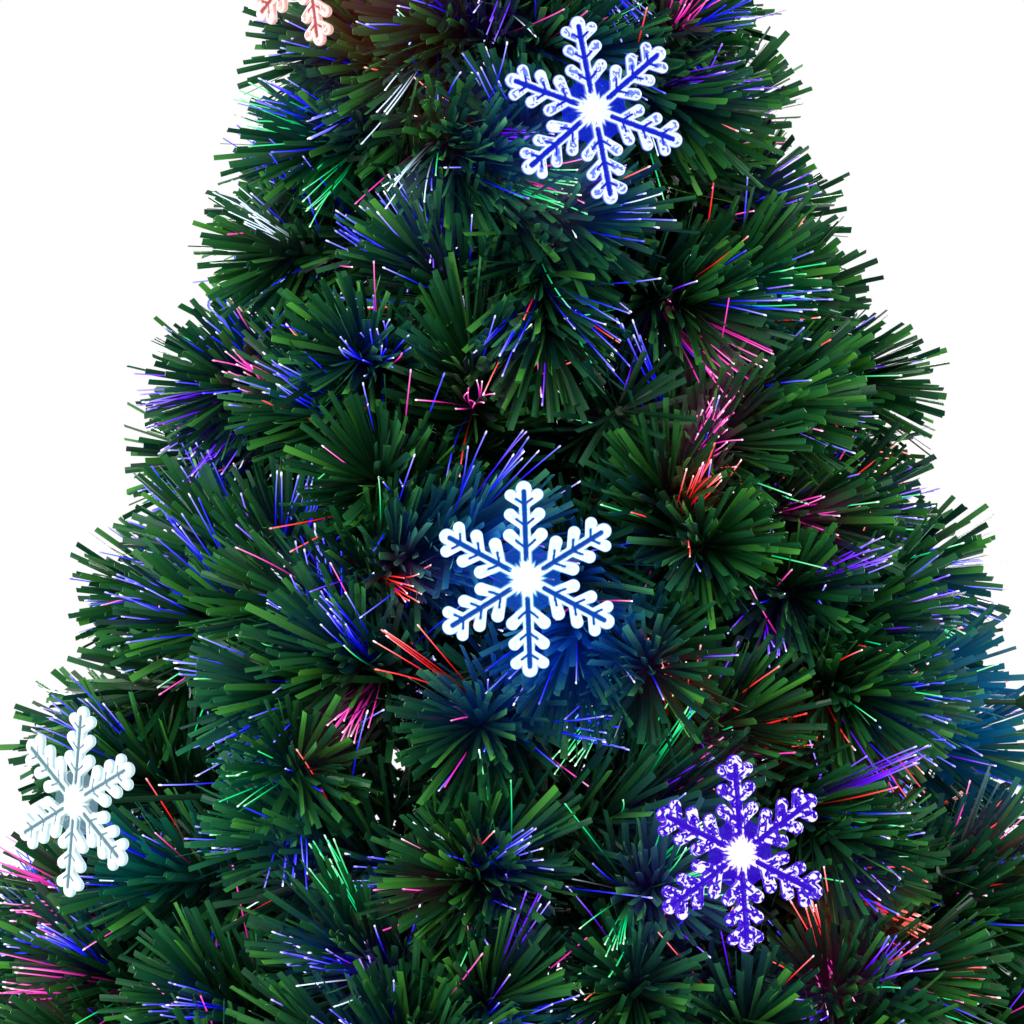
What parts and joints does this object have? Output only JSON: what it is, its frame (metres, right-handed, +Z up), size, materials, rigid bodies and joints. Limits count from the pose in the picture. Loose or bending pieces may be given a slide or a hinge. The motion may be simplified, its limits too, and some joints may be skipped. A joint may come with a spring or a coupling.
{
  "type": "fibre-optic christmas tree",
  "caption": "Artificial tree on a round lamp base, with tufted boughs, optical fibres and light-up snowflakes that turn on their lamps.",
  "frame": {"origin": "on the floor under the trunk, at the middle of the tree's outline", "axes": "+Z up along the trunk, the pictured front towards -Y, +X to the right"},
  "size_m": [0.778, 0.778, 1.5],
  "materials": {
    "base_plastic": "satin dark green moulding",
    "plate_steel": "black painted sheet",
    "foot_rubber": "matte black rubber",
    "heat_sink_aluminium": "turned and anodised",
    "lens_glass": "polished",
    "motor_steel": "plated can",
    "board_green": "solder mask",
    "black_plastic": "satin moulding",
    "button_plastic": "satin moulding",
    "trunk_paint": "dark green coating",
    "collar_plastic": "satin moulding",
    "clear_fibre": "clear optical fibres",
    "ferrule_brass": "turned",
    "needle_green": "film strip needles with a slight sheen",
    "wheel_film": "clear disc with coloured sectors",
    "led_holder_plastic": "green moulding",
    "clear_acrylic": "clear moulding lit from its hub"
  },
  "bodies": {
    "base": {"base_housing": "base_plastic", "base_plate": "plate_steel", "foot_1": "foot_rubber", "foot_2": "foot_rubber", "foot_3": "foot_rubber", "foot_4": "foot_rubber", "trunk_socket": "base_plastic", "lamp_module": "heat_sink_aluminium", "lamp_lens": "lens_glass", "wheel_motor": "motor_steel", "driver_board": "board_green", "mode_switch": "black_plastic", "power_inlet": "black_plastic"},
    "tree": {"trunk": "trunk_paint", "fibre_bundle": "clear_fibre", "fibre_ferrule": "ferrule_brass", "bough_collar_1": "collar_plastic", "bough_1_1": "needle_green", "bough_1_2": "needle_green", "bough_1_3": "needle_green", "bough_1_4": "needle_green", "bough_collar_2": "collar_plastic", "bough_2_1": "needle_green", "bough_2_2": "needle_green", "bough_2_3": "needle_green", "bough_2_4": "needle_green", "bough_collar_3": "collar_plastic", "bough_3_1": "needle_green", "bough_3_2": "needle_green", "bough_3_3": "needle_green", "bough_3_4": "needle_green", "bough_collar_4": "collar_plastic", "bough_4_1": "needle_green", "bough_4_2": "needle_green", "bough_4_3": "needle_green", "top_sprig": "needle_green", "led_lamp_01": "led_holder_plastic", "led_lamp_02": "led_holder_plastic", "led_lamp_03": "led_holder_plastic", "led_lamp_04": "led_holder_plastic", "led_lamp_05": "led_holder_plastic", "led_lamp_06": "led_holder_plastic", "led_lamp_07": "led_holder_plastic", "led_lamp_08": "led_holder_plastic", "led_lamp_09": "led_holder_plastic", "led_lamp_10": "led_holder_plastic", "led_lamp_11": "led_holder_plastic"},
    "colour_wheel": {"colour_wheel": "wheel_film"},
    "mode_button": {"mode_button": "button_plastic"},
    "snowflake_01": {"snowflake_01": "clear_acrylic"},
    "snowflake_02": {"snowflake_02": "clear_acrylic"},
    "snowflake_03": {"snowflake_03": "clear_acrylic"},
    "snowflake_04": {"snowflake_04": "clear_acrylic"},
    "snowflake_05": {"snowflake_05": "clear_acrylic"},
    "snowflake_06": {"snowflake_06": "clear_acrylic"},
    "snowflake_07": {"snowflake_07": "clear_acrylic"},
    "snowflake_08": {"snowflake_08": "clear_acrylic"},
    "snowflake_09": {"snowflake_09": "clear_acrylic"},
    "snowflake_10": {"snowflake_10": "clear_acrylic"},
    "snowflake_11": {"snowflake_11": "clear_acrylic"}
  },
  "joints": [
    {"name": "tree_lift", "type": "slide", "parent": "base", "child": "tree", "axis": [0, 0, 1], "range_m": [0, 0.09]},
    {"name": "colour_wheel_spin", "type": "hinge", "parent": "base", "child": "colour_wheel", "pos_m": [0.06, 0, 0.0619], "axis": [0, 0, 1], "continuous": true},
    {"name": "mode_button_press", "type": "slide", "parent": "base", "child": "mode_button", "axis": [0, -1, 0], "range_m": [0, 0.0015], "stiffness_N_per_m": 400, "springref_m": -0.001},
    {"name": "snowflake_01_turn", "type": "hinge", "parent": "tree", "child": "snowflake_01", "pos_m": [0.03743, -0.1761, 1.00141], "axis": [0.2079, -0.9781, 0], "continuous": true},
    {"name": "snowflake_02_turn", "type": "hinge", "parent": "tree", "child": "snowflake_02", "pos_m": [0.00447, -0.256, 0.77316], "axis": [0.0175, -0.9998, 0], "continuous": true},
    {"name": "snowflake_03_turn", "type": "hinge", "parent": "tree", "child": "snowflake_03", "pos_m": [0.10472, -0.28008, 0.64411], "axis": [0.3502, -0.9367, 0], "continuous": true},
    {"name": "snowflake_04_turn", "type": "hinge", "parent": "tree", "child": "snowflake_04", "pos_m": [-0.21374, -0.19931, 0.66442], "axis": [-0.7314, -0.682, 0], "continuous": true},
    {"name": "snowflake_05_turn", "type": "hinge", "parent": "tree", "child": "snowflake_05", "pos_m": [-0.10405, -0.11159, 1.08387], "axis": [-0.682, -0.7314, 0], "continuous": true},
    {"name": "snowflake_06_turn", "type": "hinge", "parent": "tree", "child": "snowflake_06", "pos_m": [0.27522, -0.03868, 0.70744], "axis": [0.9903, -0.1392, 0], "continuous": true},
    {"name": "snowflake_07_turn", "type": "hinge", "parent": "tree", "child": "snowflake_07", "pos_m": [0.0447, 0.1228, 1.14959], "axis": [0.342, 0.9397, 0], "continuous": true},
    {"name": "snowflake_08_turn", "type": "hinge", "parent": "tree", "child": "snowflake_08", "pos_m": [-0.13209, 0.15742, 0.92493], "axis": [-0.6428, 0.766, 0], "continuous": true},
    {"name": "snowflake_09_turn", "type": "hinge", "parent": "tree", "child": "snowflake_09", "pos_m": [0.131, 0.2269, 0.75524], "axis": [0.5, 0.866, 0], "continuous": true},
    {"name": "snowflake_10_turn", "type": "hinge", "parent": "tree", "child": "snowflake_10", "pos_m": [-0.0306, -0.34981, 0.48756], "axis": [-0.0872, -0.9962, 0], "continuous": true},
    {"name": "snowflake_11_turn", "type": "hinge", "parent": "tree", "child": "snowflake_11", "pos_m": [0.0306, 0.34981, 0.48756], "axis": [0.0872, 0.9962, 0], "continuous": true}
  ]
}
